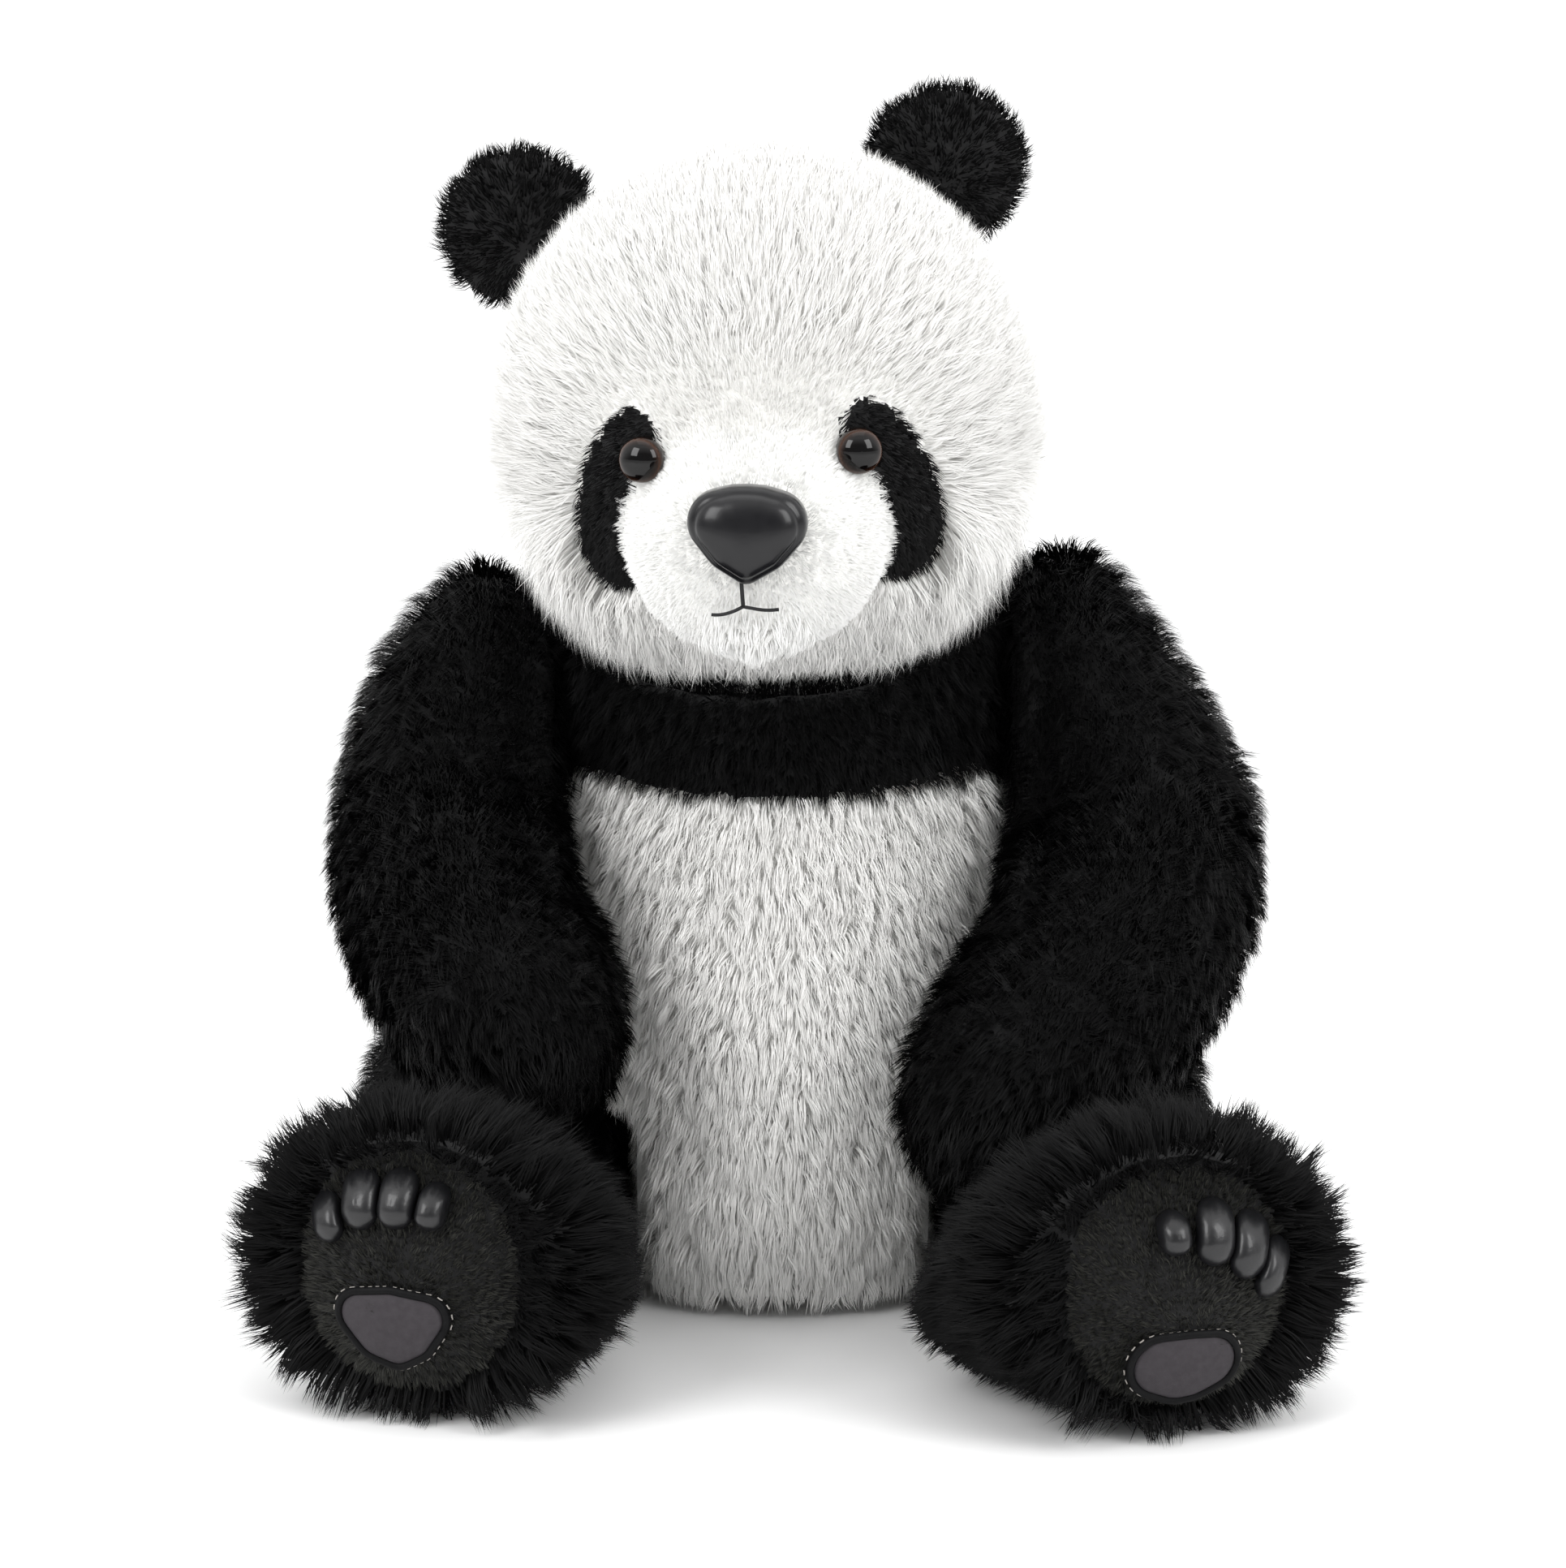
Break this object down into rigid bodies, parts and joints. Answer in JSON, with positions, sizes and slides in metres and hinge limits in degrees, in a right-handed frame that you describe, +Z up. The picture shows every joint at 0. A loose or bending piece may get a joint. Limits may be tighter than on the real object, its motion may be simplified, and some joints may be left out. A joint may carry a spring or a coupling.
{
  "type": "plush panda",
  "caption": "Seated plush panda with a turning head and swinging arms and legs, long pile, safety eyes, plastic nose and padded soles.",
  "frame": {"origin": "middle of the underside of the box that the whole toy fills", "axes": "+Z up, the toy faces -Y, +X is towards the toy's left hand"},
  "size_m": [0.2977, 0.3024, 0.351],
  "materials": {
    "white_pile": "long soft pile",
    "muzzle_pile": "short clipped pile",
    "black_pile": "long soft pile",
    "short_black_pile": "short pile",
    "filling": "loose polyester fibre",
    "pouch_cloth": "plain woven cloth",
    "pellets": "small round plastic pellets",
    "nose_plastic": "satin",
    "washer_plastic": "moulded",
    "thread": "twisted thread",
    "white_thread": "twisted thread",
    "eye_brown": "gloss",
    "eye_black": "gloss",
    "eye_clear": "clear gloss",
    "heel_leather": "smooth artificial leather",
    "toe_leather": "glossy artificial leather"
  },
  "bodies": {
    "torso": {"torso_filling": "filling", "belly_panel": "white_pile", "yoke_panel": "black_pile", "back_panel": "white_pile", "seat_panel": "white_pile", "pellet_pouch": "pouch_cloth", "pellets": "pellets", "neck_filling": "filling", "tail": "white_pile"},
    "head": {"head_filling": "filling", "head_gusset": "white_pile", "head_side_right": "white_pile", "head_side_left": "white_pile", "muzzle_cover": "muzzle_pile", "muzzle_filling": "filling", "chin": "muzzle_pile", "nose": "nose_plastic", "nose_washer": "washer_plastic", "mouth_stitching": "thread", "neck_seam": "white_thread", "eye_patch_right": "short_black_pile", "eye_cup_right": "eye_brown", "eye_pupil_right": "eye_black", "eye_lens_right": "eye_clear", "eye_washer_right": "washer_plastic", "ear_front_right": "short_black_pile", "ear_back_right": "black_pile", "eye_patch_left": "short_black_pile", "eye_cup_left": "eye_brown", "eye_pupil_left": "eye_black", "eye_lens_left": "eye_clear", "eye_washer_left": "washer_plastic", "ear_front_left": "short_black_pile", "ear_back_left": "black_pile"},
    "arm_right": {"arm_cover_right": "black_pile", "arm_filling_right": "filling"},
    "leg_right": {"haunch_cover_right": "black_pile", "haunch_filling_right": "filling", "foot_cover_right": "black_pile", "foot_filling_right": "filling", "sole_right": "short_black_pile", "heel_pad_right": "heel_leather", "heel_stitching_right": "thread", "toe_pads_right": "toe_leather"},
    "arm_left": {"arm_cover_left": "black_pile", "arm_filling_left": "filling"},
    "leg_left": {"haunch_cover_left": "black_pile", "haunch_filling_left": "filling", "foot_cover_left": "black_pile", "foot_filling_left": "filling", "sole_left": "short_black_pile", "heel_pad_left": "heel_leather", "heel_stitching_left": "thread", "toe_pads_left": "toe_leather"}
  },
  "joints": [
    {"name": "head_turn", "type": "hinge", "parent": "torso", "child": "head", "pos_m": [-0.007, 0.0223, 0.256], "axis": [0, 0, 1], "range_deg": [-25, 25]},
    {"name": "arm_right_raise", "type": "hinge", "parent": "torso", "child": "arm_right", "pos_m": [-0.094, 0.0373, 0.168], "axis": [-1, 0, 0], "range_deg": [0, 45]},
    {"name": "arm_left_raise", "type": "hinge", "parent": "torso", "child": "arm_left", "pos_m": [0.09, 0.0393, 0.178], "axis": [-1, 0, 0], "range_deg": [0, 45]},
    {"name": "leg_right_drop", "type": "hinge", "parent": "torso", "child": "leg_right", "pos_m": [-0.088, 0.0273, 0.041], "axis": [1, 0, 0], "range_deg": [0, 50]},
    {"name": "leg_left_drop", "type": "hinge", "parent": "torso", "child": "leg_left", "pos_m": [0.084, 0.0273, 0.041], "axis": [1, 0, 0], "range_deg": [0, 50]}
  ]
}
